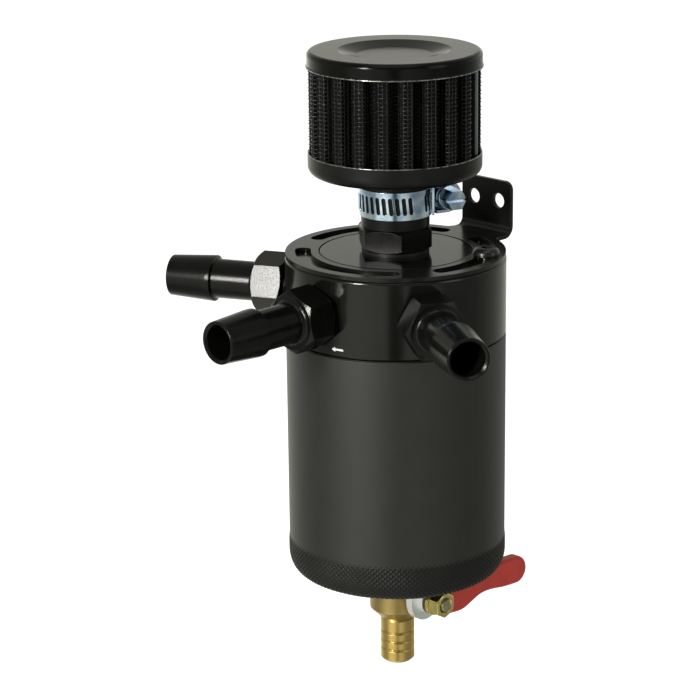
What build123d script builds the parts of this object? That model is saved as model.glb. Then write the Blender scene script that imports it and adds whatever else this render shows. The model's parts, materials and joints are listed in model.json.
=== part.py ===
from build123d import *
import math
import os

# An oil catch can: a knurled bowl screws up into a ported lid. The lid carries three hose barbs,
# a clamped breather filter and a slotted bracket, and the bowl carries a small lever ball valve.
# Millimetres, +Z up on the can's axis, zero at the shoulder of the drain barb. The bracket is at +Y.

os.makedirs("parts", exist_ok=True)

# Gaps
moving_gap = 0.3  # between pieces that move past each other
fit_gap = 0.1  # round threads and pushed-in pieces of one body
running_gap = 0.08  # round a shaft that turns in its bearing
sheet_gap = 0.05  # between sheet pieces and what they are clamped between

# Shared edges
edge_break = 0.2
hex_relief = 0.15  # how far a hexagon's end chamfer runs in from its flats
hex_chamfer_slope = 30
thread_depth = 0.35
pick_margin = 0.01  # for picking corners by their place

# Bowl
can_od = 63.5
bowl_wall = 3.0
bowl_height = 72.0
bowl_floor = 5.0
foot_in = 4.0
foot_up = 6.0
seam_chamfer = 0.4

# O-ring in the bowl's rim
rim_lip = 1.0  # wall left outside the rebate
ring_side_room = 0.4
ring_headroom = 0.5

# Lid
lid_height = 22.5
lid_roof = 4.4
lid_edge = 0.9
spigot_length = 8.0
spigot_wall = 4.05
pilot_inset = 9.95  # from the can's side to the pilot
pilot_edge = 0.4
tapped_angles = (30, 150, 270)
tapped_depth = 4.2

# Baffle under the lid
baffle_t = 1.5
baffle_margin = 1.0
baffle_centre_d = 10.0
baffle_hole_d = 5.0
baffle_hole_rings = ((9.0, 6), (16.5, 12))  # ring radius and number of holes
baffle_screw_count = 3
baffle_screw_d = 2.5
baffle_screw_length = 6.0
baffle_head_d = 3.8
baffle_head_h = 1.6

# Hose barbs
port_angles = {"left": 206, "middle": 270, "right": 330}
port_drop = 0.25  # below the middle of the lid
barb_hex_turn = {"left": 17, "middle": 7, "right": 30}
barb_bore_d = 9.5
barb_thread_wall = 1.45
barb_thread_in = 6.4  # length of thread inside the lid
barb_thread_out = 0.85  # length of thread left showing
barb_hex_shoulder = 1.8  # from the thread to the flats
barb_hex_length = 9.3
barb_fillet = 1.3
barb_tube_wall = 1.05
barb_tube_length = 13.15
barb_ridge_height = 1.0
barb_ridge_rise = 0.4
barb_ridge_land = 1.2
barb_tip_wall = 1.25
barb_taper_length = 12.6
barb_tip_round = 0.4
barb_mouth = 0.6  # chamfer inside the open end

# Bracket
sheet_t = 1.2
slot_inset = 5.25  # from the can's side to the middle of the slots
slot_width = 4.6
slot_half_angle = 44.6
slot_angles = (27, 147, 267)
bracket_ring_edge = 0.15  # the ring is this much smaller than the can
tab_width = 19.0
tab_shift = 2.4  # to the side of the can's axis
tab_corner = 2.5
tab_root_fillet = 2.5
tab_bend = 2.2  # inside radius
tab_standoff = 5.45  # from the can's side to the mounting face
tab_height = 16.5  # above the underside of the ring
tab_hole_d = 4.4
tab_hole_edge = 4.7  # from the sides of the tab
tab_hole_drop = 6.1  # below the top of the tab

# Bracket screws
screw_angles = (30, 150)
screw_d = 4.0
screw_depth = 3.6
screw_head_d = 7.6
screw_head_h = 2.2
screw_head_round = 1.8
screw_socket_af = 2.5
screw_socket_depth = 1.3

# Filter adapter
washer_t = 1.0
washer_rim = 1.7  # outside the thread
adapter_shoulder = 1.6
adapter_hex_height = 6.5
adapter_hex_angle = 23
adapter_thread_length = 5.4
adapter_bore_d = 10.0
adapter_thread_wall = 3.0
adapter_stub_wall = 1.7
adapter_stub_short = 2.1  # below the top of the filter's neck

# Breather filter
neck_wall = 3.0
neck_above_band = 2.7
neck_flare = 2.6
filter_od = 49.5
rim_wall = 0.65
rim_rise = 1.3  # climb of the underside from the neck to the rim
rim_round = 2.6
rim_height = 6.0
base_t = 3.4
element_height = 31.9
pleat_count = 22
pleat_depth = 3.6
pleat_crest = 2.3
pleat_root = 2.0
media_t = 0.8
seam_angle = 28
seam_strip_width = 1.8
seam_strip_round = 0.5
screen_t = 0.6
cap_t = 1.0
cap_skirt = 4.7
cap_round = 1.4
cap_bead = 0.2
cap_bead_height = 0.7
dish_margin = 8.75  # from the cap's edge
dish_slope = 5.5
dish_depth = 1.4
dish_round = 1.2

# Hose clamp
band_rise = 3.4  # above the bottom of the neck
band_width = 8.0
band_t = 0.6
band_slot_count = 34
band_slot_edge = 1.5  # from the ends of a slot to the band's edges
band_slot_width = 1.2
band_slot_slant = 6
band_plain_angle = 354
band_plain_half = 8
housing_angle = 72
housing_half_span = 34
housing_strap_t = 0.7
housing_overhang = 0.6  # past each edge of the band
housing_wall = 0.8
housing_length = 9.6
worm_d = 7.0
worm_depth = 0.8
worm_runout = 0.4
worm_lift = 0.35  # between the band and the worm's crest
worm_flange_d = 7.0
worm_flange_t = 1.0
worm_hex_af = 5.4
worm_hex_height = 4.4
worm_slot_width = 0.9
worm_slot_depth = 1.0
worm_tail = 0.8

# Drain valve
valve_wall = 3.0
valve_cone_height = 2.7
valve_collar = 1.0
valve_collar_step = 0.5
drain_bore_d = 6.0
drain_barb_wall = 2.05
drain_barb_length = 13.4
drain_grooves = (3.8, 6.6, 9.3)  # below the shoulder
drain_groove_depth = 0.35
drain_groove_width = 0.9
drain_tip_chamfer = 0.9
drain_thread_wall = 1.85
insert_shoulder = 1.65  # from the thread to the flats
insert_hex_height = 2.1
insert_spigot = 1.2
ball_wall = 1.2
chamber_gap = 1.0
seat_floor = 4.2  # from the barb's shoulder to the lower seat
seat_gap = 0.2
seat_depth = 0.6  # from the ball to the face behind the seat
seat_height = 2.3
boss_wall = 1.25
boss_rise = 1.3  # past the side of the body
stem_d = 3.8
stem_tongue = 1.8
stem_tongue_depth = 0.8
gland_ring_section = 0.86
gland_room = 0.14  # outside the ring
gland_float = 0.54

# Valve lever
lever_t = 2.2
lever_hub_d = 12.8
lever_collar_d = 8.0
lever_collar_h = 1.9
lever_droop = 3.3
lever_arm_width = 4.0
lever_arm_length = 17.6  # from the neck to the end
lever_shoulder_width = 10.4
lever_shoulder_reach = 14.0
lever_taper = 8.0  # from the shoulder to the neck
lever_blend = 3.0
lever_arm_round = 1.8
grip_face = 1.0  # vinyl over the arm's faces
grip_gap = 3.1  # from the hub to the grip
grip_tip = 4.3  # past the end of the arm
grip_skin = 1.5  # how far the grip's own taper trails the arm's
grip_round = 1.05
grip_shoulder = 1.8  # vinyl outside the arm's edges, at four places along it
grip_blend = 2.0
grip_neck = 1.9
grip_end = 2.3
spring_washer_d = 7.0
spring_washer_t = 1.0
flat_washer_d = 7.8
flat_washer_t = 1.0
nut_af = 7.0
nut_h = 3.8
nut_countersink = 0.5
stem_end = 0.5  # past the nut

# Worked-out places
drain_bore = drain_bore_d / 2
drain_r = drain_bore + drain_barb_wall
drain_thread_r = drain_bore + drain_thread_wall
ball_r = drain_bore + ball_wall
chamber_r = ball_r + chamber_gap
valve_r = chamber_r + valve_wall
seat_low = seat_floor
stem_z = seat_low + seat_depth + ball_r
seat_high = stem_z + ball_r + seat_depth
valve_top = seat_high + insert_spigot
can_r = can_od / 2
bore_r = can_r - bowl_wall
bowl_z = valve_top + insert_hex_height
bowl_top = bowl_z + bowl_height
lid_z = bowl_top + moving_gap
lid_top = lid_z + lid_height
port_z = lid_z + lid_height / 2 - port_drop
spigot_r = bore_r - moving_gap
spigot_z = lid_z - spigot_length
cavity_r = spigot_r - spigot_wall
cavity_top = lid_top - lid_roof
plate_z = lid_top + sheet_gap
plate_top = plate_z + sheet_t
pilot_r = can_r - pilot_inset
slot_radius = can_r - slot_inset
tab_face = can_r + tab_standoff
adapter_bore = adapter_bore_d / 2
adapter_thread_r = adapter_bore + adapter_thread_wall
adapter_hex_af = 2 * (adapter_thread_r + adapter_shoulder)
washer_z = plate_top
adapter_z = washer_z + washer_t
neck_z = adapter_z + adapter_hex_height
neck_height = band_rise + band_width + neck_above_band
base_z = neck_z + neck_height
filter_r = filter_od / 2
element_z = base_z + base_t
element_r = filter_r - rim_wall - fit_gap
cap_under = element_z + element_height
cap_top = cap_under + cap_t
stub_r = adapter_bore + adapter_stub_wall
neck_r = stub_r + fit_gap + neck_wall
band_z = neck_z + band_rise
band_mid = band_z + band_width / 2
band_in = neck_r + sheet_gap
band_out = band_in + band_t
worm_r = worm_d / 2
worm_reach = band_out + worm_lift + worm_r
barb_bore = barb_bore_d / 2
barb_thread_r = barb_bore + barb_thread_wall
barb_hex_af = 2 * (barb_thread_r + barb_hex_shoulder)
barb_hex_start = can_r + barb_thread_out
barb_hex_end = barb_hex_start + barb_hex_length
barb_ridge_start = barb_hex_end + barb_tube_length
barb_reach = barb_ridge_start + barb_ridge_rise + barb_ridge_land + barb_taper_length
boss_face = valve_r + boss_rise
hub_x = boss_face + moving_gap
collar_x = hub_x + lever_t + lever_collar_h
flat_washer_x = collar_x + spring_washer_t
nut_x = flat_washer_x + flat_washer_t
stem_r = stem_d / 2
gland_r = stem_r + sheet_gap + gland_ring_section + gland_room
gland_depth = gland_ring_section + gland_float


def section(plane, *corners):
    """A closed outline on a plane, from corners given as (x, y) or (x, y, fillet radius)."""
    points = [corner[:2] for corner in corners]
    radii = [corner[2] if len(corner) > 2 else 0 for corner in corners]
    with BuildSketch(plane) as outline:
        with BuildLine():
            FilletPolyline(*points, radius=radii, close=True)
        make_face()
    return outline.sketch


def hex_barrel(plane, across_flats, start, end):
    """Half section of a bar whose chamfered ends round off a hexagon's corners."""
    corner = across_flats / math.sqrt(3)
    flat = across_flats / 2 - hex_relief
    run = (corner - flat) * math.tan(math.radians(hex_chamfer_slope))
    return section(
        plane,
        (start, 0),
        (start, flat),
        (start + run, corner),
        (end - run, corner),
        (end, flat),
        (end, 0),
    )


def keep(piece, label):
    """Name a finished piece and write it to its own file."""
    piece.part.label = label
    export_step(piece.part, f"parts/{label}.step")


def direction(angle):
    """The level direction at an angle about the can's axis."""
    return Vector(1, 0, 0).rotate(Axis.Z, angle)


# Planes and axes that several pieces share
turned = Plane.XZ
stem_axis = Axis((0, 0, stem_z), (1, 0, 0))
stem_side = Plane(origin=(0, 0, stem_z), x_dir=(1, 0, 0), z_dir=(0, -1, 0))

# Bowl: a turned cup with a rounded foot and a rebate for its O-ring
rebate_r = can_r - rim_lip
ring_section = rebate_r - bore_r - ring_side_room
rebate_depth = ring_section + ring_headroom
with BuildPart() as bowl:
    with BuildSketch(turned):
        with BuildLine():
            foot = EllipticalCenterArc(
                (can_r - foot_in, bowl_z + foot_up), foot_in, foot_up, start_angle=270, arc_size=90
            )
            Polyline(
                foot @ 1,
                (can_r, bowl_top - seam_chamfer),
                (can_r - seam_chamfer, bowl_top),
                (rebate_r, bowl_top),
                (rebate_r, bowl_top - rebate_depth),
                (bore_r, bowl_top - rebate_depth),
                (bore_r, bowl_z + bowl_floor),
                (drain_thread_r + fit_gap, bowl_z + bowl_floor),
                (drain_thread_r + fit_gap, bowl_z),
                foot @ 0,
            )
        make_face()
    revolve(axis=Axis.Z)
keep(bowl, "bowl")

# O-ring that lies in the rim's rebate and seals against the lid
with BuildPart() as bowl_o_ring:
    with BuildSketch(turned):
        with Locations((bore_r + ring_section / 2, bowl_top - rebate_depth / 2)):
            Circle(ring_section / 2)
    revolve(axis=Axis.Z)
keep(bowl_o_ring, "bowl_o_ring")

# Lid: a hollow head with a spigot below, a pilot above and three ports
baffle_screw_r = (cavity_r + spigot_r) / 2
with BuildPart() as lid:
    lid_outline = section(
        turned,
        (adapter_thread_r + fit_gap, cavity_top),
        (cavity_r, cavity_top),
        (cavity_r, spigot_z),
        (spigot_r, spigot_z),
        (spigot_r, lid_z),
        (can_r - seam_chamfer, lid_z),
        (can_r, lid_z + seam_chamfer),
        (can_r, lid_top, lid_edge),
        (pilot_r, lid_top),
        (pilot_r, plate_top, pilot_edge),
        (adapter_thread_r + fit_gap, plate_top),
    )
    revolve(lid_outline, axis=Axis.Z)
    for angle in port_angles.values():
        with BuildSketch(Plane(origin=(0, 0, port_z), z_dir=direction(angle)).offset(cavity_r / 2)):
            Circle(barb_thread_r + fit_gap)
        extrude(amount=can_r, mode=Mode.SUBTRACT)
    with BuildSketch(Plane.XY.offset(lid_top)):
        for angle in tapped_angles:
            with PolarLocations(slot_radius, 1, start_angle=angle):
                Circle(screw_d / 2 - thread_depth + fit_gap)
    extrude(amount=-tapped_depth, mode=Mode.SUBTRACT)
    with BuildSketch(Plane.XY.offset(spigot_z)):
        with PolarLocations(baffle_screw_r, baffle_screw_count):
            Circle(baffle_screw_d / 2 + fit_gap)
    extrude(amount=baffle_screw_length, mode=Mode.SUBTRACT)
keep(lid, "lid")

# Baffle: a drilled disc screwed to the spigot
baffle_r = spigot_r - baffle_margin
with BuildPart() as baffle_plate:
    with BuildSketch(Plane.XY.offset(spigot_z - baffle_t)):
        Circle(baffle_r)
        Circle(baffle_centre_d / 2, mode=Mode.SUBTRACT)
        for ring_radius, hole_count in baffle_hole_rings:
            with PolarLocations(ring_radius, hole_count):
                Circle(baffle_hole_d / 2, mode=Mode.SUBTRACT)
        with PolarLocations(baffle_screw_r, baffle_screw_count):
            Circle(baffle_screw_d / 2 + fit_gap, mode=Mode.SUBTRACT)
    extrude(amount=baffle_t)
keep(baffle_plate, "baffle_plate")

with BuildPart() as baffle_screws:
    with BuildSketch(Plane.XY.offset(spigot_z - baffle_t)):
        with PolarLocations(baffle_screw_r, baffle_screw_count):
            Circle(baffle_screw_d / 2)
    extrude(amount=baffle_t + baffle_screw_length - fit_gap)
    with BuildSketch(Plane.XY.offset(spigot_z - baffle_t)):
        with PolarLocations(baffle_screw_r, baffle_screw_count):
            Circle(baffle_head_d / 2)
    extrude(amount=-baffle_head_h)
keep(baffle_screws, "baffle_screws")

# Bracket: one folded sheet, a slotted ring on the lid and a drilled tab turned up at +Y
plate_ring_r = can_r - bracket_ring_edge
bend_y = tab_face - sheet_t - tab_bend
bend_z = plate_top + tab_bend
bend_out = tab_bend + sheet_t
tab_top = plate_z + tab_height
with BuildPart() as bracket:
    with BuildSketch(Plane.XY.offset(plate_z)) as ring_outline:
        Circle(plate_ring_r)
        with Locations((tab_shift, bend_y / 2)):
            Rectangle(tab_width, bend_y)
        tab_roots = ring_outline.vertices().filter_by(
            lambda corner: 0 < corner.Y < bend_y - pick_margin
            and abs(corner.X - tab_shift) > tab_width / 2 - pick_margin
        )
        fillet(tab_roots, radius=tab_root_fillet)
        Circle(pilot_r + moving_gap, mode=Mode.SUBTRACT)
        for angle in slot_angles:
            slot_line = CenterArc((0, 0), slot_radius, angle - slot_half_angle, 2 * slot_half_angle)
            SlotArc(slot_line, height=slot_width, mode=Mode.SUBTRACT)
    extrude(amount=sheet_t)
    with BuildSketch(Plane.YZ.offset(tab_shift)):
        with BuildLine():
            bend_outside = CenterArc((bend_y, bend_z), bend_out, 270, 90)
            bend_inside = CenterArc((bend_y, bend_z), tab_bend, 270, 90)
            Polyline(bend_outside @ 1, (tab_face, tab_top), (tab_face - sheet_t, tab_top), bend_inside @ 1)
            Line(bend_inside @ 0, bend_outside @ 0)
        make_face()
    extrude(amount=tab_width / 2, both=True)
    fillet(bracket.edges().filter_by(Axis.Y).group_by(Axis.Z)[-1], radius=tab_corner)
    hole_middle = (tab_shift, tab_face, tab_top - tab_hole_drop)
    hole_plane = Plane(origin=hole_middle, x_dir=(1, 0, 0), z_dir=(0, 1, 0))
    with BuildSketch(hole_plane):
        with GridLocations(tab_width - 2 * tab_hole_edge, 0, 2, 1):
            Circle(tab_hole_d / 2)
    extrude(amount=-2 * sheet_t, mode=Mode.SUBTRACT)
keep(bracket, "bracket")

# Two button-head screws clamp the bracket through its slots
head_z = plate_top + sheet_gap
with BuildPart() as bracket_screw:
    screw_outline = section(
        turned,
        (0, lid_top - screw_depth),
        (screw_d / 2 - thread_depth, lid_top - screw_depth),
        (screw_d / 2 - thread_depth, lid_top),
        (screw_d / 2, plate_z),
        (screw_d / 2, head_z),
        (screw_head_d / 2, head_z),
        (screw_head_d / 2, head_z + screw_head_h, screw_head_round),
        (0, head_z + screw_head_h),
    )
    revolve(screw_outline, axis=Axis.Z)
    with BuildSketch(Plane.XY.offset(head_z + screw_head_h)):
        RegularPolygon(screw_socket_af / 2, 6, major_radius=False)
    extrude(amount=-screw_socket_depth, mode=Mode.SUBTRACT)

with BuildPart() as bracket_screws:
    for angle in screw_angles:
        with PolarLocations(slot_radius, 1, start_angle=angle):
            add(bracket_screw.part)
keep(bracket_screws, "bracket_screws")

# Filter adapter: a hex fitting on a sealing washer, screwed into the lid's pilot
with BuildPart() as adapter_washer:
    with BuildSketch(Plane.XY.offset(washer_z)):
        Circle(adapter_thread_r + washer_rim)
        Circle(adapter_thread_r + fit_gap, mode=Mode.SUBTRACT)
    extrude(amount=washer_t)
keep(adapter_washer, "adapter_washer")

upright_side = Plane(origin=(0, 0, 0), x_dir=(0, 0, 1), z_dir=(0, 1, 0))
with BuildPart() as filter_adapter:
    with BuildSketch(Plane.XY.offset(adapter_z)):
        RegularPolygon(adapter_hex_af / 2, 6, major_radius=False, rotation=adapter_hex_angle)
    extrude(amount=adapter_hex_height)
    revolve(
        hex_barrel(upright_side, adapter_hex_af, adapter_z, neck_z),
        axis=Axis.Z,
        mode=Mode.INTERSECT,
    )
    with BuildSketch(Plane.XY.offset(adapter_z)):
        Circle(adapter_thread_r)
    extrude(amount=-washer_t - adapter_thread_length)
    with BuildSketch(Plane.XY.offset(neck_z)):
        Circle(stub_r)
    extrude(amount=neck_height - adapter_stub_short)
    with BuildSketch(Plane.XY.offset(adapter_z)):
        Circle(adapter_bore)
    extrude(amount=adapter_hex_height + neck_height, both=True, mode=Mode.SUBTRACT)
keep(filter_adapter, "filter_adapter")

# Breather filter: moulded base with its neck, pleated element, screen, seam strip and pressed cap
neck_bore = stub_r + fit_gap
rim_top = base_z + rim_rise + rim_height
with BuildPart() as filter_base:
    base_outline = section(
        turned,
        (neck_bore, neck_z),
        (neck_r, neck_z, edge_break),
        (neck_r, base_z, neck_flare),
        (filter_r, base_z + rim_rise, rim_round),
        (filter_r, rim_top, edge_break),
        (filter_r - rim_wall, rim_top, edge_break),
        (filter_r - rim_wall, element_z),
        (neck_bore, element_z),
    )
    revolve(base_outline, axis=Axis.Z)
keep(filter_base, "filter_base")


def pleat_loop(crest_r, root_r, crest_width, root_width):
    """Corner points of a pleated ring, with one fold left out where the seam strip goes."""
    pitch = 360 / pleat_count
    points = []
    for fold in range(pleat_count):
        crest_angle = seam_angle + fold * pitch
        if fold > 0:
            points.append(Vector(crest_r, -crest_width / 2).rotate(Axis.Z, crest_angle))
            points.append(Vector(crest_r, crest_width / 2).rotate(Axis.Z, crest_angle))
        points.append(Vector(root_r, -root_width / 2).rotate(Axis.Z, crest_angle + pitch / 2))
        points.append(Vector(root_r, root_width / 2).rotate(Axis.Z, crest_angle + pitch / 2))
    return points


crest_r = math.sqrt(element_r**2 - (pleat_crest / 2) ** 2)
root_r = crest_r - pleat_depth
with BuildPart() as filter_element:
    with BuildSketch(Plane.XY.offset(element_z)):
        with BuildLine():
            Polyline(*pleat_loop(crest_r, root_r, pleat_crest, pleat_root), close=True)
        make_face()
        with BuildLine():
            Polyline(
                *pleat_loop(
                    crest_r - media_t, root_r - media_t, pleat_crest - 2 * media_t, pleat_root + 2 * media_t
                ),
                close=True,
            )
        make_face(mode=Mode.SUBTRACT)
    extrude(amount=element_height)
keep(filter_element, "filter_element")

# Folded strip that clips the two ends of the pleated media together
with BuildPart() as filter_seam_strip:
    with BuildSketch(Plane.XY.offset(element_z)):
        with PolarLocations((root_r + element_r) / 2 + sheet_gap / 2, 1, start_angle=seam_angle):
            Rectangle(element_r - root_r - sheet_gap, seam_strip_width)
    extrude(amount=element_height)
    fillet(filter_seam_strip.edges().filter_by(Axis.Z), radius=seam_strip_round)
keep(filter_seam_strip, "filter_seam_strip")

screen_r = (root_r - media_t) * math.cos(math.radians(180 / pleat_count)) - fit_gap
with BuildPart() as filter_inner_screen:
    with BuildSketch(Plane.XY.offset(element_z)):
        Circle(screen_r)
        Circle(screen_r - screen_t, mode=Mode.SUBTRACT)
    extrude(amount=element_height)
keep(filter_inner_screen, "filter_inner_screen")

skirt_z = cap_top - cap_skirt
dish_r = filter_r - dish_margin
dish_floor_r = dish_r - dish_slope
with BuildPart() as filter_cap:
    cap_outline = section(
        turned,
        (0, cap_top - dish_depth),
        (dish_floor_r, cap_top - dish_depth, dish_round),
        (dish_r, cap_top, dish_round),
        (filter_r, cap_top, cap_round),
        (filter_r, skirt_z + cap_bead_height),
        (filter_r + cap_bead, skirt_z + cap_bead_height - cap_bead),
        (filter_r + cap_bead, skirt_z),
        (filter_r - rim_wall, skirt_z),
        (filter_r - rim_wall, cap_under),
        (dish_r, cap_under, dish_round),
        (dish_floor_r, cap_under - dish_depth, dish_round),
        (0, cap_under - dish_depth),
    )
    revolve(cap_outline, axis=Axis.Z)
keep(filter_cap, "filter_cap")

# Hose clamp: slotted band, saddle housing and worm screw
slot_pitch = 360 / band_slot_count


def angle_between(first, second):
    """Smallest angle between two headings, in degrees."""
    return abs((first - second + 180) % 360 - 180)


slot_headings = [
    step * slot_pitch
    for step in range(band_slot_count)
    if angle_between(step * slot_pitch, band_plain_angle) > band_plain_half
    and angle_between(step * slot_pitch, housing_angle) > housing_half_span
]
slot_planes = [
    Plane(origin=(0, 0, band_mid), x_dir=(0, 0, 1), z_dir=direction(heading)) for heading in slot_headings
]
with BuildPart() as clamp_band:
    with BuildSketch(Plane.XY.offset(band_z)):
        Circle(band_out)
        Circle(band_in, mode=Mode.SUBTRACT)
    extrude(amount=band_width)
    with BuildSketch(*slot_planes):
        SlotOverall(band_width - 2 * band_slot_edge, band_slot_width, rotation=band_slot_slant)
    extrude(amount=band_out + band_t, mode=Mode.SUBTRACT)
keep(clamp_band, "clamp_band")

# The screw lies across the band, so its housing is drawn end on and pulled both ways along it
screw_dir = direction(housing_angle - 90)
screw_centre = direction(housing_angle) * worm_reach + Vector(0, 0, band_mid)
screw_end = Plane(origin=screw_centre, x_dir=direction(housing_angle), z_dir=screw_dir)
tunnel_r = worm_r + moving_gap
arch_r = tunnel_r + housing_wall
strap_out = band_out + sheet_gap + housing_strap_t
strap_width = band_width + 2 * housing_overhang
strap_mid = strap_out - housing_strap_t / 2
leg_foot = strap_mid - worm_reach
with BuildPart() as clamp_housing:
    with BuildSketch(screw_end):
        Circle(arch_r)
        with Locations((leg_foot / 2, 0)):
            Rectangle(-leg_foot, 2 * arch_r)
        Circle(tunnel_r, mode=Mode.SUBTRACT)
        with Locations((leg_foot, 0)):
            Rectangle(-2 * leg_foot, 2 * tunnel_r, mode=Mode.SUBTRACT)
    extrude(amount=housing_length / 2, both=True)
    with BuildSketch(Plane.XY.offset(band_mid - strap_width / 2)):
        with BuildLine():
            strap_start = housing_angle - housing_half_span
            strap_inside = CenterArc((0, 0), band_out + sheet_gap, strap_start, 2 * housing_half_span)
            strap_outside = CenterArc((0, 0), strap_out, strap_start, 2 * housing_half_span)
            Line(strap_inside @ 0, strap_outside @ 0)
            Line(strap_inside @ 1, strap_outside @ 1)
        make_face()
    extrude(amount=strap_width)
    with BuildSketch(screw_end):
        Circle(tunnel_r)
    extrude(amount=housing_length, both=True, mode=Mode.SUBTRACT)
keep(clamp_housing, "clamp_housing")

worm_root_r = worm_r - worm_depth
head_start = housing_length / 2 + moving_gap
screw_side = Plane(origin=screw_centre, x_dir=screw_dir, z_dir=direction(housing_angle + 180))
with BuildPart() as clamp_screw:
    worm_axis = Axis(screw_centre, screw_dir)
    worm_outline = section(
        screw_side,
        (-head_start - worm_tail, 0),
        (-head_start - worm_tail, worm_root_r, edge_break),
        (-housing_length / 2, worm_root_r),
        (-housing_length / 2 + worm_runout, worm_r),
        (housing_length / 2 - worm_runout, worm_r),
        (housing_length / 2, worm_root_r),
        (head_start, worm_root_r),
        (head_start, worm_flange_d / 2, edge_break),
        (head_start + worm_flange_t, worm_flange_d / 2, edge_break),
        (head_start + worm_flange_t, 0),
    )
    revolve(worm_outline, axis=worm_axis)
    with BuildSketch(screw_end.offset(head_start + worm_flange_t)):
        RegularPolygon(worm_hex_af / 2, 6, major_radius=False)
    extrude(amount=worm_hex_height)
    with BuildSketch(screw_end.offset(head_start + worm_flange_t + worm_hex_height)):
        Rectangle(2 * worm_hex_af, worm_slot_width)
    extrude(amount=-worm_slot_depth, mode=Mode.SUBTRACT)
keep(clamp_screw, "clamp_screw")


# Hose barbs: pipe thread, hexagon, tube and a single tapered ridge
def hose_barb(label, angle, hex_turn):
    """A hose barb that points out of the lid at an angle about the can's axis."""
    out = direction(angle)
    port_axis = Axis((0, 0, port_z), out)
    port_end = Plane(origin=(0, 0, port_z), x_dir=(0, 0, 1), z_dir=out)
    port_side = Plane(origin=(0, 0, port_z), x_dir=out, z_dir=direction(angle - 90))
    tube_r = barb_bore + barb_tube_wall
    ridge_r = tube_r + barb_ridge_height
    hex_face_r = barb_hex_af / 2 - 2 * hex_relief
    land_start = barb_ridge_start + barb_ridge_rise
    with BuildPart() as barb:
        with BuildSketch(port_end.offset(barb_hex_start)):
            RegularPolygon(barb_hex_af / 2, 6, major_radius=False, rotation=hex_turn)
        extrude(amount=barb_hex_length)
        revolve(
            hex_barrel(port_side, barb_hex_af, barb_hex_start, barb_hex_end),
            axis=port_axis,
            mode=Mode.INTERSECT,
        )
        outline = section(
            port_side,
            (can_r - barb_thread_in, 0),
            (can_r - barb_thread_in, barb_thread_r),
            (barb_hex_start + barb_hex_length / 2, barb_thread_r),
            (barb_hex_start + barb_hex_length / 2, hex_face_r),
            (barb_hex_end, hex_face_r),
            (barb_hex_end, tube_r, barb_fillet),
            (barb_ridge_start, tube_r),
            (land_start, ridge_r),
            (land_start + barb_ridge_land, ridge_r),
            (barb_reach, barb_bore + barb_tip_wall, barb_tip_round),
            (barb_reach, 0),
        )
        revolve(outline, axis=port_axis)
        bore = section(
            port_side,
            (0, 0),
            (0, barb_bore),
            (barb_reach - barb_mouth, barb_bore),
            (barb_reach, barb_bore + barb_mouth),
            (barb_reach, 0),
        )
        revolve(bore, axis=port_axis, mode=Mode.SUBTRACT)
    keep(barb, label)


for place, angle in port_angles.items():
    hose_barb(f"hose_barb_{place}", angle, barb_hex_turn[place])

# Drain valve body: hose barb, cone, ball chamber and stem boss in one turned piece
collar_r = drain_r + valve_collar_step
groove_half = drain_groove_width / 2
with BuildPart() as valve_body:
    body_outline = [
        (drain_bore, -drain_barb_length),
        (drain_r - drain_tip_chamfer, -drain_barb_length),
        (drain_r, -drain_barb_length + drain_tip_chamfer),
    ]
    for depth in reversed(drain_grooves):
        body_outline += [
            (drain_r, -depth - groove_half),
            (drain_r - drain_groove_depth, -depth),
            (drain_r, -depth + groove_half),
        ]
    body_outline += [
        (drain_r, 0),
        (drain_r - drain_groove_depth, valve_collar / 2),
        (collar_r, valve_collar),
        (valve_r, valve_collar + valve_cone_height),
        (valve_r, valve_top, edge_break),
        (chamber_r, valve_top),
        (chamber_r, seat_low),
        (drain_bore, seat_low),
    ]
    revolve(section(turned, *body_outline), axis=Axis.Z)
    with BuildSketch(Plane.YZ.offset(chamber_r)):
        with Locations((0, stem_z)):
            Circle(gland_r + boss_wall)
    extrude(amount=boss_face - chamber_r)
    with BuildSketch(Plane.XY.offset(seat_low)):
        Circle(chamber_r)
    extrude(amount=valve_top - seat_low, mode=Mode.SUBTRACT)
    with BuildSketch(Plane.YZ):
        with Locations((0, stem_z)):
            Circle(stem_r + running_gap)
    extrude(amount=boss_face, mode=Mode.SUBTRACT)
    with BuildSketch(Plane.YZ.offset(boss_face)):
        with Locations((0, stem_z)):
            Circle(gland_r)
    extrude(amount=-gland_depth, mode=Mode.SUBTRACT)
keep(valve_body, "valve_body")

# Threaded insert that closes the ball chamber and screws into the bowl's floor
with BuildPart() as valve_insert:
    with BuildSketch(Plane.XY.offset(valve_top)):
        RegularPolygon(drain_thread_r + insert_shoulder, 6, major_radius=False)
    extrude(amount=insert_hex_height)
    with BuildSketch(Plane.XY.offset(valve_top)):
        Circle(chamber_r - fit_gap)
    extrude(amount=seat_high - valve_top)
    with BuildSketch(Plane.XY.offset(bowl_z)):
        Circle(drain_thread_r)
    extrude(amount=bowl_floor)
    with BuildSketch(Plane.XY.offset(seat_high)):
        Circle(drain_bore)
    extrude(amount=bowl_z + bowl_floor - seat_high, mode=Mode.SUBTRACT)
keep(valve_insert, "valve_insert")


# Two seat rings hold the ball
def valve_seat(label, low):
    """A plastic ring hollowed to clear the ball, standing on its lower face."""
    with BuildPart() as seat:
        with BuildSketch(Plane.XY.offset(low)):
            Circle(chamber_r - fit_gap)
            Circle(drain_bore, mode=Mode.SUBTRACT)
        extrude(amount=seat_height)
        with Locations((0, 0, stem_z)):
            Sphere(ball_r + seat_gap, mode=Mode.SUBTRACT)
    keep(seat, label)


valve_seat("valve_seat_lower", seat_low)
valve_seat("valve_seat_upper", seat_high - seat_height)

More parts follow.
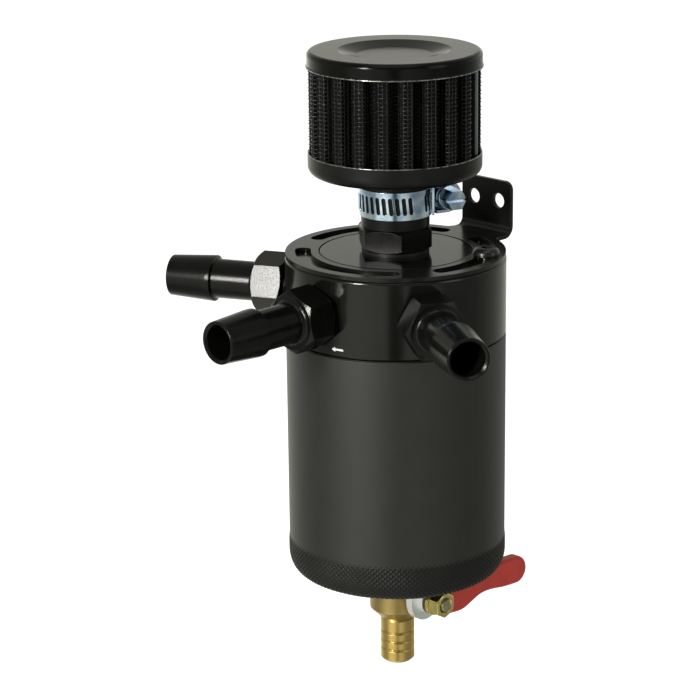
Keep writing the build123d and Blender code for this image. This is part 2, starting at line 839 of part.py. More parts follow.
# Ball: its bore lies level, across the flow, while the valve is shut
tongue_tip = ball_r - stem_tongue_depth
with BuildPart() as valve_ball:
    with Locations((0, 0, stem_z)):
        Sphere(ball_r)
    with BuildSketch(Plane.XZ):
        with Locations((0, stem_z)):
            Circle(drain_bore)
    extrude(amount=2 * ball_r, both=True, mode=Mode.SUBTRACT)
    with BuildSketch(Plane.YZ.offset(tongue_tip)):
        with Locations((0, stem_z)):
            Rectangle(stem_tongue + 2 * fit_gap, 2 * ball_r)
    extrude(amount=ball_r, mode=Mode.SUBTRACT)
keep(valve_ball, "valve_ball")

# Stem: a tongue in the ball's slot, a shaft through the boss and a thread for the nut
stem_tip = nut_x + nut_h + stem_end
with BuildPart() as valve_stem:
    with BuildSketch(Plane.YZ.offset(tongue_tip + fit_gap)):
        with Locations((0, stem_z)):
            Circle(stem_r)
    extrude(amount=stem_tip - tongue_tip - fit_gap)
    chamfer(valve_stem.edges().group_by(Axis.X)[-1], length=thread_depth)
    with BuildSketch(Plane.YZ.offset(tongue_tip)):
        with Locations((0, stem_z)):
            Circle(2 * stem_r)
            Rectangle(stem_tongue, 4 * stem_r, mode=Mode.SUBTRACT)
    extrude(amount=stem_tongue_depth + fit_gap, mode=Mode.SUBTRACT)
keep(valve_stem, "valve_stem")

with BuildPart() as stem_o_ring:
    with BuildSketch(stem_side):
        with Locations((boss_face - gland_depth / 2, stem_r + sheet_gap + gland_ring_section / 2)):
            Circle(gland_ring_section / 2)
    revolve(axis=stem_axis)
keep(stem_o_ring, "stem_o_ring")

# Lever: a plate with a collared hub and a tapering arm, set a little below level
droop = math.radians(lever_droop)
lever_plane = Plane(
    origin=(hub_x, 0, stem_z), x_dir=(0, math.cos(droop), -math.sin(droop)), z_dir=(1, 0, 0)
)
lever_mid = lever_plane.offset(lever_t / 2)
lever_neck_reach = lever_shoulder_reach + lever_taper
lever_arm_reach = lever_neck_reach + lever_arm_length


def arm_outline(plane, margin):
    """The arm from its shoulder to its rounded end, grown by a margin."""
    shoulder = lever_shoulder_width / 2 + margin
    half = lever_arm_width / 2 + margin
    return section(
        plane,
        (0, shoulder),
        (lever_shoulder_reach, shoulder, lever_blend),
        (lever_neck_reach, half, lever_blend),
        (lever_arm_reach + margin, half, lever_arm_round),
        (lever_arm_reach + margin, -half, lever_arm_round),
        (lever_neck_reach, -half, lever_blend),
        (lever_shoulder_reach, -shoulder, lever_blend),
        (0, -shoulder),
    )


with BuildPart() as lever:
    with BuildSketch(lever_plane):
        Circle(lever_hub_d / 2)
    extrude(amount=lever_t)
    extrude(arm_outline(lever_plane, 0), amount=lever_t)
    with BuildSketch(lever_plane.offset(lever_t)):
        Circle(lever_collar_d / 2)
    extrude(amount=lever_collar_h)
    with BuildSketch(lever_plane):
        Circle(stem_r + fit_gap)
    extrude(amount=lever_t + lever_collar_h, mode=Mode.SUBTRACT)
keep(lever, "lever")

# Dipped vinyl grip over the arm, waisted behind its shoulder and rounded at its end
grip_waist = (lever_neck_reach + lever_arm_reach) / 2
grip_reach = lever_arm_reach + grip_tip
shoulder_half = lever_shoulder_width / 2 + grip_shoulder
arm_half = lever_arm_width / 2
end_centre = grip_reach - arm_half - grip_end
grip_edge = [
    (lever_hub_d / 2 + grip_gap, shoulder_half),
    (lever_shoulder_reach + grip_skin, shoulder_half),
    (lever_neck_reach + grip_skin, arm_half + grip_blend),
    (grip_waist, arm_half + grip_neck),
    (end_centre, arm_half + grip_end),
]
with BuildPart() as lever_grip:
    with BuildSketch(lever_mid):
        with BuildLine():
            upper = Spline(*grip_edge, tangents=((1, 0), (1, 0)))
            lower = Spline(*[(x, -y) for x, y in grip_edge], tangents=((1, 0), (1, 0)))
            ThreePointArc(upper @ 1, (grip_reach, 0), lower @ 1)
            Line(upper @ 0, lower @ 0)
        make_face()
    extrude(amount=lever_t / 2 + grip_face, both=True)
    rims = lever_grip.faces().filter_by(Axis.X).edges() - lever_grip.edges().group_by(Axis.Y)[0]
    fillet(rims.filter_by(lambda rim: rim.length > 2 * shoulder_half), radius=grip_round)
    arm_space = arm_outline(lever_plane.offset(-fit_gap), fit_gap)
    extrude(arm_space, amount=lever_t + 2 * fit_gap, mode=Mode.SUBTRACT)
keep(lever_grip, "lever_grip")


# Washers and nut that hold the lever on its stem
def stem_washer(label, start, outside_d, thickness):
    """A flat ring round the stem."""
    with BuildPart() as washer:
        with BuildSketch(Plane.YZ.offset(start)):
            with Locations((0, stem_z)):
                Circle(outside_d / 2)
                Circle(stem_r + fit_gap, mode=Mode.SUBTRACT)
        extrude(amount=thickness)
    keep(washer, label)


stem_washer("lever_spring_washer", collar_x, spring_washer_d, spring_washer_t)
stem_washer("lever_flat_washer", flat_washer_x, flat_washer_d, flat_washer_t)

with BuildPart() as lever_nut:
    with BuildSketch(Plane.YZ.offset(nut_x)):
        with Locations((0, stem_z)):
            RegularPolygon(nut_af / 2, 6, major_radius=False, rotation=90)
    extrude(amount=nut_h)
    revolve(
        hex_barrel(stem_side, nut_af, nut_x, nut_x + nut_h), axis=stem_axis, mode=Mode.INTERSECT
    )
    with BuildSketch(Plane.YZ.offset(nut_x)):
        with Locations((0, stem_z)):
            Circle(stem_r + fit_gap)
    extrude(amount=nut_h, mode=Mode.SUBTRACT)
    nut_face = lever_nut.faces().sort_by(Axis.X)[-1]
    chamfer(nut_face.inner_wires()[0].edges(), length=nut_countersink)
keep(lever_nut, "lever_nut")
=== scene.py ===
import bpy
import json
import math
from mathutils import Matrix, Vector


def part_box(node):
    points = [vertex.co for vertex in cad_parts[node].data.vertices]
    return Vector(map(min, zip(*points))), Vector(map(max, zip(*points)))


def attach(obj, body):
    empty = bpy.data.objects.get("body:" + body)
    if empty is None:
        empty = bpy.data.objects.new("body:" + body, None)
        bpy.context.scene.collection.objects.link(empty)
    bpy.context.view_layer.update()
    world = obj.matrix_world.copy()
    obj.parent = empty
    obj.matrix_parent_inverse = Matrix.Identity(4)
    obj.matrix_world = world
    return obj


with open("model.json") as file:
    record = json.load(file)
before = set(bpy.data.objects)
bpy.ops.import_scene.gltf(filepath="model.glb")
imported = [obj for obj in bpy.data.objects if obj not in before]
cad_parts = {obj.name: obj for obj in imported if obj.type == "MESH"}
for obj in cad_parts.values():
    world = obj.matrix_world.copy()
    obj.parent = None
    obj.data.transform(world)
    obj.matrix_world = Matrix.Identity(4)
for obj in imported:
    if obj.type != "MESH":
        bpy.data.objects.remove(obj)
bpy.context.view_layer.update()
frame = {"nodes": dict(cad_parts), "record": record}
record = frame["record"]

MM = 0.001

# Camera, fitted to the photograph's circles. The two photo values are in pixels
photo_axis_offset = 48.11
photo_focal_length = 2525.77
camera_heading = math.radians(44)
camera_distance = 0.700
camera_height = 0.29559
camera_pitch = 0.2945
camera_roll = -0.0111
camera_yaw = math.atan(photo_axis_offset / photo_focal_length)
camera_lens = 129.9
sensor_width = 36.0

# Floor and studio
white = (1, 1, 1, 1)
floor_z = -0.0534
floor_half = 6.0
floor_colour = (0.8, 0.8, 0.8, 1)
floor_rough = 0.9
floor_glow = 0.67
world_level = 0.42
# What mirror-like surfaces see round the studio: heading in degrees and brightness there
floor_mirror = (
    (-180, 0.55), (-150, 0.65), (-120, 1.60), (-60, 0.46), (-23, 0.36), (-15, 1.05), (4, 1.20), (16, 1.12),
    (35, 0.95), (38, 0.08), (48, 0.10), (54, 0.95), (80, 0.75), (96, 0.36), (130, 0.30), (180, 0.55)
)
world_mirror = (
    (-180, 0.76), (-120, 0.76), (-60, 0.50), (0, 0.36), (40, 0.22), (75, 0.22), (110, 0.40), (150, 0.55),
    (180, 0.76)
)
mirror_tint = (1.0, 1.0, 0.89, 1)
# The studio's walls are brighter low down: height of a ray's direction, and brightness there
wall_low = (0.14, 1.25)
wall_high = (0.30, 0.70)

# Softboxes round the can's middle: angles in degrees, distance and size in metres
lights_middle = Vector((0, 0, 0.0916))
softboxes = {
    "key": dict(
        azimuth=5, elevation=16, distance=0.9, width=0.10, height=0.27, brightness=126.0,
        tint=(1.0, 0.98, 0.93)
    ),
    "top": dict(azimuth=44, elevation=75, distance=1.1, width=0.8, height=0.8, brightness=1.2),
    "fill": dict(azimuth=104, elevation=20, distance=1.0, width=0.35, height=0.8, brightness=1.5),
}

# What most finishes share. Noise values lie mostly between noise_low and noise_high
noise_detail = 3.0
noise_low = 0.3
noise_high = 0.7
fine_grain = 0.15 * MM
fine_relief = 0.004 * MM
broad_mottle = 6 * MM
eased_edge = 0.15 * MM
even = (1, 1, 1)

# Brass, turned on a lathe: on the drain valve bright on the barb; from its shoulder up a duller cast finish,
# its colour darkened further by painted shade under the bowl
turned = (6, 6, 0.6)
turned_relief = 0.0015 * MM
brass_mottle = 3 * MM
barb_brass = (0.57, 0.41, 0.135)
# Body colour: duller cast brass, made darker still by painted shade under the bowl
body_brass_and_shade = (0.34, 0.26, 0.10)
drain_rough = (0.32, 0.42)
dull_shade_from = 0.2 * MM
dull_shade_to = 1.6 * MM
dull_shade_share = (0.1, 0.9)
dull_shade_uneven = 0.2

# Knurl round the foot of the bowl, whose edge is rounded by foot_in and foot_up
knurl_start = 0.15 * MM
knurl_end = 11.8 * MM
knurl_pitch_round = 1.55 * MM
knurl_pitch_up = 1.5 * MM
knurl_root = 0.03 * MM
knurl_crest = 0.22 * MM
knurl_lead = 1.0 * MM
knurl_fade = 3.0 * MM
knurl_dip = 0.10 * MM
foot_in = 4.0 * MM
foot_up = 6.0 * MM

# Pipe thread between each barb's hexagon and the lid
pipe_thread_r = 6.2 * MM
pipe_thread_height = 0.3 * MM
pipe_thread_pitch = 0.9 * MM
pipe_thread_from = 30.4 * MM
pipe_thread_to = 32.6 * MM
pipe_thread_steps = 48

# Wire gauze over the pleats. Upright wires lie deeper than the ones round the pleats, by gauze_sink
pleat_count = 22
pleat_depth = 3.6 * MM
pleat_crest = 2.3 * MM
pleat_root = 2.0 * MM
seam_angle = math.radians(28)
gauze_pitch = 1.15 * MM
gauze_wire = 0.2 * MM
gauze_lift = 0.14 * MM
gauze_weave = 0.16 * MM
gauze_sink = 0.18 * MM
wire_corners = ((1, 0), (0, 1), (-1, 0), (0, -1))

# Pale metal beads round edges of the filter's cap and base
edge_bead = 0.22 * MM
edge_stand = 0.06 * MM
edge_round_steps = 144
edge_bead_steps = 8

# Etched arrow on the lid: places along it from its middle, and half its head's and its shaft's width
arrow_angle = math.radians(283)
arrow_z = 91.6 * MM
arrow_lift = 0.04 * MM
arrow_tip = -1.9 * MM
arrow_neck = -0.7 * MM
arrow_tail = 1.9 * MM
arrow_head = 0.75 * MM
arrow_shaft = 0.28 * MM
etched_dark = (0.42, 0.42, 0.40)
etched_light = (0.62, 0.62, 0.60)
etched_mottle = 0.3 * MM
etched_rough = 0.6


# Small helpers


def mesh_piece(name, vertices, faces, body, slot, smooth=False, finish=None):
    """A mesh in the shared frame that moves with a body and takes a slot's finish, or one of its own."""
    mesh = bpy.data.meshes.new(name)
    mesh.from_pydata([tuple(v) for v in vertices], [], faces)
    mesh.validate()
    mesh.update()
    mesh.polygons.foreach_set("use_smooth", [smooth] * len(mesh.polygons))
    piece = bpy.data.objects.new(name, mesh)
    bpy.context.scene.collection.objects.link(piece)
    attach(piece, body)
    piece.data.materials.append(finish or finishes[slot])


def polar(radius, angle, z):
    """A point from its distance to the can's axis, its heading and its height."""
    return Vector((radius * math.cos(angle), radius * math.sin(angle), z))


# Shader nodes


def new_material(name):
    """A new node material, with its tree, its shader and its place in the object."""
    material = bpy.data.materials.new(name)
    material.use_nodes = True
    tree = material.node_tree
    shader = tree.nodes["Principled BSDF"]
    place = tree.nodes.new("ShaderNodeTexCoord").outputs["Object"]
    return material, tree, shader, place


def axes(tree, place):
    """A place's three coordinates, by their letters."""
    parts = tree.nodes.new("ShaderNodeSeparateXYZ")
    tree.links.new(place, parts.inputs["Vector"])
    return parts.outputs


def arithmetic(tree, operation, first, second):
    """A value worked out from another value and a second one or a number."""
    node = tree.nodes.new("ShaderNodeMath")
    node.operation = operation
    tree.links.new(first, node.inputs[0])
    if isinstance(second, float):
        node.inputs[1].default_value = second
    else:
        tree.links.new(second, node.inputs[1])
    return node.outputs["Value"]


def noise(tree, place, size, stretch=even):
    """Noise whose features are about the given size in metres, drawn out along an axis by its stretch."""
    mapping = tree.nodes.new("ShaderNodeMapping")
    mapping.inputs["Scale"].default_value = [1 / (size * s) for s in stretch]
    tree.links.new(place, mapping.inputs["Vector"])
    texture = tree.nodes.new("ShaderNodeTexNoise")
    texture.inputs["Scale"].default_value = 1.0
    texture.inputs["Detail"].default_value = noise_detail
    tree.links.new(mapping.outputs["Vector"], texture.inputs["Vector"])
    return texture.outputs["Fac"]


def spread(tree, value, low, high, start=noise_low, end=noise_high):
    """Stretch a value from the range between start and end to the one between low and high."""
    scale = tree.nodes.new("ShaderNodeMapRange")
    scale.inputs["From Min"].default_value = start
    scale.inputs["From Max"].default_value = end
    scale.inputs["To Min"].default_value = low
    scale.inputs["To Max"].default_value = high
    tree.links.new(value, scale.inputs["Value"])
    return scale.outputs["Result"]


def blend_colours(tree, value, first, second, start=noise_low, end=noise_high):
    """A colour between two, as a value goes from start to end."""
    ramp = tree.nodes.new("ShaderNodeValToRGB")
    ramp.color_ramp.elements[0].position = start
    ramp.color_ramp.elements[0].color = (*first, 1)
    ramp.color_ramp.elements[1].position = end
    ramp.color_ramp.elements[1].color = (*second, 1)
    tree.links.new(value, ramp.inputs["Fac"])
    return ramp.outputs["Color"]


def bump(tree, shader, height, depth, edge):
    """Raise the surface by a height value, as deep as given in metres, with its sharp edges eased."""
    relief = tree.nodes.new("ShaderNodeBump")
    relief.inputs["Strength"].default_value = 1.0
    relief.inputs["Distance"].default_value = depth
    tree.links.new(height, relief.inputs["Height"])
    eased = tree.nodes.new("ShaderNodeBevel")
    eased.inputs["Radius"].default_value = edge
    tree.links.new(eased.outputs["Normal"], relief.inputs["Normal"])
    tree.links.new(relief.outputs["Normal"], shader.inputs["Normal"])


# Finishes


def surface(name, dark, light, rough, metallic=0.0, specular=0.5, grain=fine_grain, relief=fine_relief,
            mottle=broad_mottle, stretch=even, edge=eased_edge):
    """A finish whose colour and gloss vary between two values each, with a fine grain."""
    material, tree, shader, place = new_material(name)
    patch = noise(tree, place, mottle)
    fine = noise(tree, place, grain, stretch)
    tree.links.new(blend_colours(tree, patch, dark, light), shader.inputs["Base Color"])
    tree.links.new(spread(tree, fine, *rough), shader.inputs["Roughness"])
    shader.inputs["Metallic"].default_value = metallic
    shader.inputs["Specular IOR Level"].default_value = specular
    bump(tree, shader, fine, relief, edge)
    return material


def drain_brass_shaded():
    """Brass that goes from the turned barb's bright finish to the body's duller cast finish, unevenly; the
    body's darker colour is partly painted shade.
    """
    material, tree, shader, place = new_material("drain_brass_shaded")
    rise = spread(tree, axes(tree, place)["Z"], *dull_shade_share, dull_shade_from, dull_shade_to)
    patch = spread(tree, noise(tree, place, brass_mottle), -dull_shade_uneven, dull_shade_uneven)
    dull_and_shade = arithmetic(tree, "ADD", rise, patch)
    # The body's colour is partly its duller cast finish and partly painted shade
    colour = blend_colours(tree, dull_and_shade, barb_brass, body_brass_and_shade, 0.0, 1.0)
    tree.links.new(colour, shader.inputs["Base Color"])
    tree.links.new(spread(tree, dull_and_shade, *drain_rough, 0.0, 1.0), shader.inputs["Roughness"])
    shader.inputs["Metallic"].default_value = 1.0
    bump(tree, shader, noise(tree, place, fine_grain, turned), turned_relief, eased_edge)
    return material


def etched_white():
    """Pale laser etching with a faint unevenness."""
    material, tree, shader, place = new_material("etched_white")
    patch = noise(tree, place, etched_mottle)
    tree.links.new(blend_colours(tree, patch, etched_dark, etched_light), shader.inputs["Base Color"])
    shader.inputs["Roughness"].default_value = etched_rough
    return material


def dress(node_name, finish):
    """Give a CAD node a finish in place of its plain one."""
    materials = frame["nodes"][node_name].data.materials
    materials.clear()
    materials.append(finish)


slot_looks = {
    "can_black": dict(
        dark=(0.005, 0.005, 0.0043), light=(0.007, 0.007, 0.0062), rough=(0.42, 0.50), specular=0.47
    ),
    "fitting_black": dict(
        dark=(0.002, 0.002, 0.002), light=(0.0035, 0.0035, 0.003), rough=(0.16, 0.26), specular=0.17,
        grain=0.35 * MM, relief=0.015 * MM, edge=0.25 * MM
    ),
    "bracket_black": dict(
        dark=(0.003, 0.003, 0.0027), light=(0.005, 0.005, 0.0045), rough=(0.20, 0.28), specular=0.29,
        relief=0.006 * MM, edge=0.2 * MM
    ),
    "screw_black": dict(
        dark=(0.003, 0.003, 0.003), light=(0.006, 0.006, 0.0055), rough=(0.25, 0.35), specular=0.4
    ),
    "rubber_black": dict(
        dark=(0.003, 0.003, 0.0028), light=(0.006, 0.006, 0.0055), rough=(0.28, 0.38), specular=0.13
    ),
    "seal_black": dict(
        dark=(0.004, 0.004, 0.004), light=(0.007, 0.007, 0.007), rough=(0.4, 0.5), specular=0.25
    ),
    "gauze_black": dict(
        dark=(0.003, 0.003, 0.003), light=(0.007, 0.007, 0.007), rough=(0.22, 0.32), specular=0.3,
        relief=0.03 * MM
    ),
    "screen_steel": dict(dark=(0.3, 0.3, 0.31), light=(0.4, 0.4, 0.41), rough=(0.35, 0.45), metallic=1.0),
    "strip_steel": dict(dark=(0.07, 0.10, 0.11), light=(0.12, 0.16, 0.17), rough=(0.3, 0.4), metallic=1.0),
    "cap_black": dict(
        dark=(0.0015, 0.0015, 0.0013), light=(0.0025, 0.0025, 0.0022), rough=(0.14, 0.2), specular=0.12,
        edge=0.3 * MM
    ),
    # Clamp band's dark blue to pale patches: partly the zinc's own blue tone, partly painted reflection
    "clamp_zinc": dict(
        dark=(0.23, 0.36, 0.52), light=(0.63, 0.74, 0.83), rough=(0.12, 0.22), metallic=1.0, mottle=3.5 * MM
    ),
    "baffle_aluminium": dict(
        dark=(0.68, 0.68, 0.69), light=(0.78, 0.78, 0.79), rough=(0.3, 0.45), metallic=1.0, stretch=(8, 1, 1)
    ),
    "screw_steel": dict(
        dark=(0.55, 0.55, 0.55), light=(0.65, 0.65, 0.65), rough=(0.25, 0.35), metallic=1.0
    ),
    "valve_brass": dict(
        dark=(0.50, 0.35, 0.105), light=(0.64, 0.47, 0.165), rough=(0.3, 0.4), metallic=1.0,
        mottle=brass_mottle, stretch=turned, relief=turned_relief
    ),
    "ball_chrome": dict(
        dark=(0.72, 0.72, 0.73), light=(0.78, 0.78, 0.79), rough=(0.08, 0.14), metallic=1.0
    ),
    "seat_white": dict(dark=(0.86, 0.86, 0.84), light=(0.92, 0.92, 0.90), rough=(0.4, 0.5)),
    "lever_zinc": dict(
        dark=(0.80, 0.84, 0.84), light=(0.90, 0.92, 0.90), rough=(0.4, 0.55), metallic=1.0, mottle=2 * MM
    ),
    "grip_red": dict(
        dark=(0.40, 0.030, 0.018), light=(0.46, 0.038, 0.025), rough=(0.42, 0.52), specular=0.3,
        grain=0.3 * MM, relief=0.01 * MM
    ),
    "washer_dark": dict(dark=(0.09, 0.08, 0.05), light=(0.15, 0.14, 0.10), rough=(0.3, 0.4), metallic=1.0),
    "nut_yellow": dict(
        dark=(0.62, 0.51, 0.15), light=(0.80, 0.70, 0.30), rough=(0.14, 0.24), metallic=1.0, mottle=2 * MM
    ),
}
finishes = {slot: surface(slot, **look) for slot, look in slot_looks.items()}
for subpart in record["subparts"]:
    dress(subpart["node"], finishes[subpart["material_slot"]])

# The lid is polished more than the bowl. The adapter, pleats and stem are duller than the rest of their slots
own_finishes = {
    "valve_body": drain_brass_shaded(),
    "lid": surface(
        "lid_black", dark=(0.0025, 0.0025, 0.0022), light=(0.004, 0.004, 0.0036), rough=(0.13, 0.18),
        specular=0.31
    ),
    "filter_adapter": surface(
        "adapter_black", dark=(0.002, 0.002, 0.002), light=(0.0035, 0.0035, 0.003), rough=(0.22, 0.32),
        specular=0.09, edge=0.25 * MM
    ),
    "filter_element": surface(
        "pleat_black", dark=(0.0012, 0.0012, 0.0012), light=(0.002, 0.002, 0.002), rough=(0.6, 0.75),
        specular=0.05
    ),
    "valve_stem": surface(
        "stem_dull", dark=(0.32, 0.30, 0.18), light=(0.46, 0.44, 0.28), rough=(0.35, 0.5), metallic=1.0,
        mottle=2 * MM
    ),
}
for name, finish in own_finishes.items():
    dress(name, finish)


# Diamond knurl


def bowl_profile(rise, can_r):
    """Radius of the bowl at a height above its underside, and the outward slope there as (out, up)."""
    if rise >= foot_up:
        return can_r, 1.0, 0.0
    drop = (foot_up - rise) / foot_up
    across = math.sqrt(1 - drop * drop)
    out = Vector((across / foot_in, -drop / foot_up)).normalized()
    return can_r - foot_in + foot_in * across, out.x, out.y


def knurl():
    """Pyramids round the bowl's foot, which sink into its wall towards the knurl's upper end."""
    low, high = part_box("bowl")
    can_r = high[0]
    columns = 2 * round(2 * math.pi * can_r / knurl_pitch_round)
    rows = round((knurl_end - knurl_start) / (knurl_pitch_up / 2))
    vertices = []
    for row in range(rows + 1):
        rise = knurl_start + (knurl_end - knurl_start) * row / rows
        radius, out, up = bowl_profile(rise, can_r)
        fade = min(1.0, (knurl_end - rise) / knurl_fade)
        root = knurl_root - knurl_dip * (1 - fade)
        rib = (knurl_crest - root) * fade * min(1.0, (rise - knurl_start) / knurl_lead)
        for column in range(columns):
            height = root + rib if (row + column) % 2 == 0 else root
            angle = 2 * math.pi * column / columns
            vertices.append(polar(radius + height * out, angle, low[2] + rise + height * up))
    faces = []
    for row in range(rows):
        for column in range(columns):
            after = (column + 1) % columns
            a = row * columns + column
            b = row * columns + after
            c = (row + 1) * columns + after
            d = (row + 1) * columns + column
            faces += [(a, b, d), (b, c, d)] if (row + column) % 2 == 0 else [(a, b, c), (a, c, d)]
    # The knurl's finish: slightly darker in colour, rougher and less glossy than the bowl's
    knurl_finish = surface(
        "knurl_black", dark=(0.004, 0.004, 0.0036), light=(0.006, 0.006, 0.0055), rough=(0.46, 0.56),
        specular=0.2
    )
    mesh_piece("bowl_knurl", vertices, faces, "bowl", "can_black", finish=knurl_finish)


knurl()


# Pipe threads


def pipe_thread(mount):
    """A ridge that winds round a barb's shank from the lid to its hexagon."""
    out = Vector(mount["axis"])
    up = Vector((0, 0, 1))
    side = out.cross(up)
    centre = Vector((0, 0, mount["pos_m"][2]))
    turns = (pipe_thread_to - pipe_thread_from) / pipe_thread_pitch
    half = pipe_thread_pitch / 2
    section = ((-half, 0.0), (0.0, pipe_thread_height), (half, 0.0))
    vertices = []
    faces = []
    count = round(turns * pipe_thread_steps)
    for step in range(count + 1):
        angle = 2 * math.pi * step / pipe_thread_steps
        along = pipe_thread_from + (pipe_thread_to - pipe_thread_from) * step / count
        spoke = up * math.cos(angle) + side * math.sin(angle)
        for shift, lift in section:
            reach = min(along + shift, pipe_thread_to)
            vertices.append(centre + out * reach + spoke * (pipe_thread_r + lift))
        if step:
            a = len(section) * (step - 1)
            b = len(section) * step
            faces += [(a, a + 1, b + 1, b), (a + 1, a + 2, b + 2, b + 1)]
    mesh_piece(mount["name"] + "_thread", vertices, faces, "head", "fitting_black")


for mount in record["mounts"]:
    if mount["name"].startswith("hose_"):
        pipe_thread(mount)


# Wire gauze


def pleat_outline(lift):
    """Points round the pleats, standing off them by a lift, with the fold at the seam strip left out."""
    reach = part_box("filter_element")[1][0]
    crest_r = math.sqrt(reach**2 - (pleat_crest / 2) ** 2) + lift
    root_r = crest_r - pleat_depth
    pitch = 2 * math.pi / pleat_count
    points = []
    for fold in range(pleat_count):
        angle = seam_angle + fold * pitch
        if fold > 0:
            for half in (-pleat_crest / 2 - lift, pleat_crest / 2 + lift):
                points.append(Matrix.Rotation(angle, 3, "Z") @ Vector((crest_r, half, 0)))
        for half in (-pleat_root / 2 + lift, pleat_root / 2 - lift):
            points.append(Matrix.Rotation(angle + pitch / 2, 3, "Z") @ Vector((root_r, half, 0)))
    return points


def gauze():
    """Round wires that follow the pleats, with upright wires woven across them."""
    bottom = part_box("filter_base")[1][2]
    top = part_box("filter_cap")[0][2]
    corners = pleat_outline(gauze_lift)
    path = []
    for here, there in zip(corners, corners[1:] + corners[:1]):
        steps = max(1, round((there - here).length / gauze_pitch))
        path += [here.lerp(there, step / steps) for step in range(steps)]
    normals = []
    for before, after in zip(path[-1:] + path[:-1], path[1:] + path[:1]):
        along = (after - before).normalized()
        normals.append(Vector((along.y, -along.x, 0)))
    rings = round((top - bottom) / gauze_pitch)
    vertices = []
    faces = []
    count = len(path)
    sides = len(wire_corners)
    for ring in range(rings + 1):
        z = bottom + (top - bottom) * ring / rings
        start = len(vertices)
        for index, (point, normal) in enumerate(zip(path, normals)):
            weave = gauze_weave if (ring + index) % 2 else -gauze_weave
            for out, up in wire_corners:
                offset = normal * (weave + out * gauze_wire) + Vector((0, 0, up * gauze_wire))
                vertices.append(point + offset + Vector((0, 0, z)))
        for index in range(count):
            a = start + sides * index
            b = start + sides * ((index + 1) % count)
            for corner in range(sides):
                after = (corner + 1) % sides
                faces.append((a + corner, b + corner, b + after, a + after))
    for point, normal in zip(path, normals):
        along = Vector((-normal.y, normal.x, 0))
        a = len(vertices)
        b = a + sides
        for z in (bottom, top):
            for out, side in wire_corners:
                offset = normal * (out * gauze_wire - gauze_sink) + along * (side * gauze_wire)
                vertices.append(point + offset + Vector((0, 0, z)))
        for corner in range(sides):
            after = (corner + 1) % sides
            faces.append((a + corner, a + after, b + after, b + corner))
    mesh_piece("filter_gauze", vertices, faces, "head", "gauze_black", smooth=True)


gauze()


# Pale edge beads


def edge_ring(name, radius, z, slot):
    """A fine pale metal bead round an edge of the filter, patchy between dark and light."""
    pale_bead_finish = surface(
        name, dark=(0.03, 0.03, 0.03), light=(0.42, 0.42, 0.40), rough=(0.25, 0.4), metallic=1.0,
        mottle=1.2 * MM
    )
    vertices = []
    faces = []
    for step in range(edge_round_steps):
        heading = 2 * math.pi * step / edge_round_steps
        here = step * edge_bead_steps
        ahead = (step + 1) % edge_round_steps * edge_bead_steps
        for turn in range(edge_bead_steps):
            angle = 2 * math.pi * turn / edge_bead_steps
            out = radius + edge_bead * math.cos(angle)
            vertices.append(polar(out, heading, z + edge_bead * math.sin(angle)))
            after = (turn + 1) % edge_bead_steps
            faces.append((here + turn, ahead + turn, ahead + after, here + after))
    mesh_piece(name, vertices, faces, "head", slot, smooth=True, finish=pale_bead_finish)


def filter_edges():
    """The lower edge of the cap's skirt and the upper edge of the base."""
    low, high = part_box("filter_cap")
    edge_ring("cap_edge", high[0] - edge_bead + edge_stand, low[2] + edge_bead, "cap_black")
    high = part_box("filter_base")[1]
    edge_ring("base_edge", high[0] - edge_bead, high[2] - edge_bead + edge_stand, "rubber_black")


filter_edges()


# Etched arrow


def arrow():
    """A small plain arrow on the lid's wall."""
    can_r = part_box("lid")[1][0] + arrow_lift
    outline = [
        (arrow_tip, 0), (arrow_neck, arrow_head), (arrow_neck, arrow_shaft), (arrow_tail, arrow_shaft),
        (arrow_tail, -arrow_shaft), (arrow_neck, -arrow_shaft), (arrow_neck, -arrow_head)
    ]
    vertices = [polar(can_r, arrow_angle + along / can_r, arrow_z + up) for along, up in outline]
    faces = [(0, 6, 1), (2, 5, 4, 3)]
    mesh_piece("outlet_arrow", vertices, faces, "head", "can_black", finish=etched_white())


arrow()


# Stage, light and camera


def ray_kinds(tree):
    """Two values: one for the camera's own rays, and one for rays from a mirror-like or clear surface."""
    rays = tree.nodes.new("ShaderNodeLightPath").outputs
    mirrored = arithmetic(tree, "MAXIMUM", rays["Is Glossy Ray"], rays["Is Transmission Ray"])
    return rays["Is Camera Ray"], mirrored


def show_by_ray(tree, mirrored, plain, mirror, output):
    """Show a plain shader, and another one to rays from mirror-like and clear surfaces."""
    either = tree.nodes.new("ShaderNodeMixShader")
    tree.links.new(mirrored, either.inputs["Fac"])
    tree.links.new(plain, either.inputs[1])
    tree.links.new(mirror, either.inputs[2])
    tree.links.new(either.outputs["Shader"], tree.nodes[output].inputs["Surface"])


def round_studio(tree, place, steps):
    """A brightness that changes with the heading from the can, from steps of (heading, brightness)."""
    parts = axes(tree, place)
    ahead = arithmetic(tree, "MULTIPLY", parts["Y"], -1.0)
    heading = arithmetic(tree, "ARCTAN2", parts["X"], ahead)
    ramp = tree.nodes.new("ShaderNodeValToRGB")
    stops = ramp.color_ramp.elements
    while len(stops) < len(steps):
        stops.new(0.5)
    for stop, (angle, level) in zip(stops, steps):
        stop.position = (angle + 180) / 360
        stop.color = (level, level, level, 1)
    turn = spread(tree, heading, 0.0, 1.0, -math.pi, math.pi)
    tree.links.new(turn, ramp.inputs["Fac"])
    return ramp.outputs["Color"]


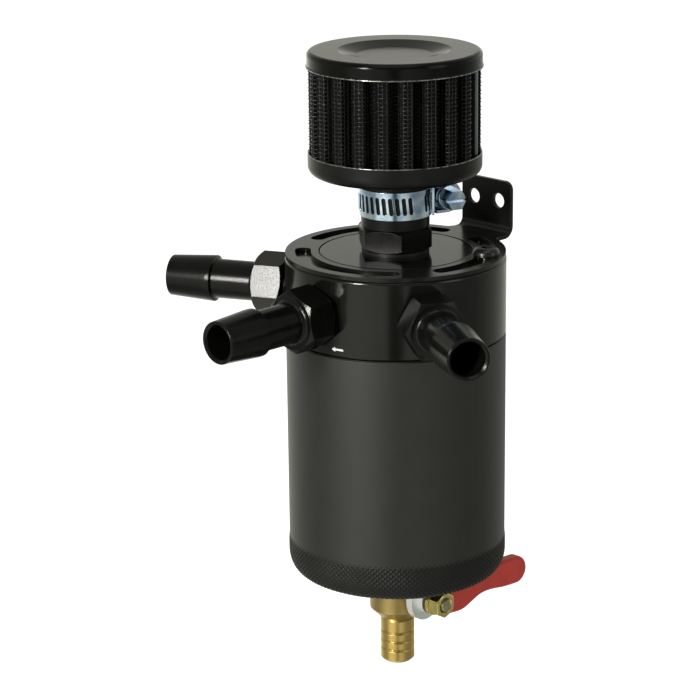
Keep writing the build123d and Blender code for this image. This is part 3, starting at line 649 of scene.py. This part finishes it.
def plain_floor():
    """A pale floor that shows white to the camera and keeps the object's shadow."""
    corners = [(-1, -1), (1, -1), (1, 1), (-1, 1)]
    mesh = bpy.data.meshes.new("floor")
    mesh.from_pydata([(x * floor_half, y * floor_half, floor_z) for x, y in corners], [], [(0, 1, 2, 3)])
    floor = bpy.data.objects.new("floor", mesh)
    bpy.context.scene.collection.objects.link(floor)
    material, tree, shader, place = new_material("floor")
    seen, mirrored = ray_kinds(tree)
    shader.inputs["Base Color"].default_value = floor_colour
    shader.inputs["Roughness"].default_value = floor_rough
    shader.inputs["Specular IOR Level"].default_value = 0.0
    shader.inputs["Emission Color"].default_value = white
    tree.links.new(spread(tree, seen, 0.0, floor_glow, 0.0, 1.0), shader.inputs["Emission Strength"])
    mirror = tree.nodes.new("ShaderNodeEmission")
    mirror.inputs["Color"].default_value = mirror_tint
    tree.links.new(round_studio(tree, place, floor_mirror), mirror.inputs["Strength"])
    show_by_ray(tree, mirrored, shader.outputs["BSDF"], mirror.outputs["Emission"], "Material Output")
    mesh.materials.append(material)


def white_world():
    """White behind the object, a dimmer even light on it, and the studio in its mirror-like surfaces."""
    world = bpy.data.worlds.new("studio")
    bpy.context.scene.world = world
    world.use_nodes = True
    tree = world.node_tree
    seen, mirrored = ray_kinds(tree)
    place = tree.nodes.new("ShaderNodeTexCoord").outputs["Generated"]
    plain = tree.nodes["Background"]
    plain.inputs["Color"].default_value = white
    tree.links.new(spread(tree, seen, world_level, 1.0, 0.0, 1.0), plain.inputs["Strength"])
    mirror = tree.nodes.new("ShaderNodeBackground")
    mirror.inputs["Color"].default_value = mirror_tint
    height = spread(tree, axes(tree, place)["Z"], wall_low[1], wall_high[1], wall_low[0], wall_high[0])
    level = arithmetic(tree, "MULTIPLY", round_studio(tree, place, world_mirror), height)
    tree.links.new(level, mirror.inputs["Strength"])
    show_by_ray(tree, mirrored, plain.outputs["Background"], mirror.outputs["Background"], "World Output")


def softbox(name, azimuth, elevation, distance, width, height, brightness, tint=(1, 1, 1)):
    """An area light that faces the middle of the can, placed round it as the camera's views are."""
    heading = math.radians(azimuth)
    rise = math.radians(elevation)
    level = math.cos(rise)
    toward = Vector((math.sin(heading) * level, -math.cos(heading) * level, math.sin(rise)))
    light = bpy.data.lights.new(name, "AREA")
    light.shape = "RECTANGLE"
    light.size = width
    light.size_y = height
    light.energy = brightness * math.pi * width * height
    light.color = tint
    lamp = bpy.data.objects.new(name, light)
    lamp.location = lights_middle + toward * distance
    lamp.rotation_euler = toward.to_track_quat("Z", "Y").to_euler()
    lamp.visible_camera = False
    bpy.context.scene.collection.objects.link(lamp)


def photo_camera():
    """The camera that took the photograph, in the shared frame."""
    right = Vector((math.cos(camera_yaw), math.sin(camera_yaw), 0))
    ahead = Vector((-math.sin(camera_yaw), math.cos(camera_yaw), 0))
    forward = ahead * math.cos(camera_pitch) - Vector((0, 0, math.sin(camera_pitch)))
    up = ahead * math.sin(camera_pitch) + Vector((0, 0, math.cos(camera_pitch)))
    level = right * math.cos(camera_roll) + up * math.sin(camera_roll)
    upright = up * math.cos(camera_roll) - right * math.sin(camera_roll)
    turn = Matrix((level, upright, -forward)).transposed().to_4x4()
    place = Matrix.Translation((0, -camera_distance, camera_height))
    data = bpy.data.cameras.new("camera")
    data.lens = camera_lens
    data.sensor_width = sensor_width
    camera = bpy.data.objects.new("camera", data)
    camera.matrix_world = Matrix.Rotation(camera_heading, 4, "Z") @ place @ turn
    bpy.context.scene.collection.objects.link(camera)
    bpy.context.scene.camera = camera


plain_floor()
white_world()
for name, box in softboxes.items():
    softbox(name, **box)
photo_camera()
bpy.context.scene.view_settings.view_transform = "Standard"
